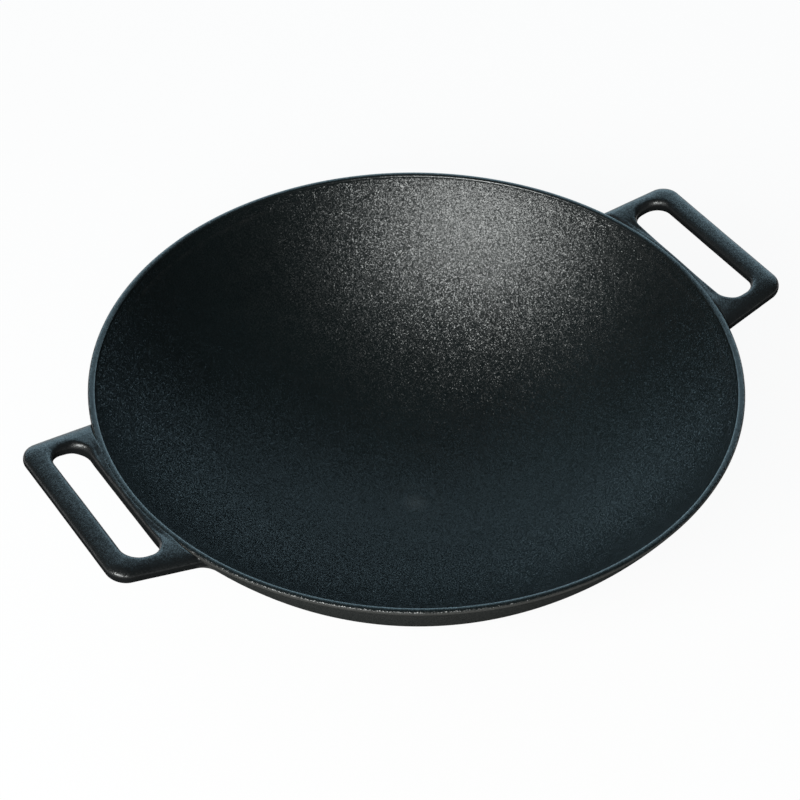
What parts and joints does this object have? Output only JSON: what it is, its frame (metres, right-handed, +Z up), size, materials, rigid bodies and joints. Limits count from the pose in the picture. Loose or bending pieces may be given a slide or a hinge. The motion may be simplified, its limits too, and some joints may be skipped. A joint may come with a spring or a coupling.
{
  "type": "grill wok",
  "caption": "Deep round black cast-iron wok with a thin rim, a foot ring, and a wide slotted loop handle tilting up on either side, for cooking over a grill.",
  "frame": {"origin": "on the standing surface, under the middle of the dish", "axes": "+Z up along the axis of the dish, +X from the middle towards the right handle, +Y to the rear"},
  "size_m": [0.426, 0.356, 0.1168],
  "materials": {
    "dish_iron": "matt black seasoned casting with a fine pebbled grain",
    "rim_iron": "satin black, ground smooth on top",
    "foot_iron": "matt black, rubbed where it stands",
    "handle_iron": "satin black casting with rounded edges"
  },
  "bodies": {
    "root": {"wok_bowl": "dish_iron", "rim_lip": "rim_iron", "foot_ring": "foot_iron", "left_handle_web": "handle_iron", "left_handle_front_arm": "handle_iron", "left_handle_rear_arm": "handle_iron", "left_grip_bar": "handle_iron", "right_handle_web": "handle_iron", "right_handle_front_arm": "handle_iron", "right_handle_rear_arm": "handle_iron", "right_grip_bar": "handle_iron"}
  },
  "joints": []
}
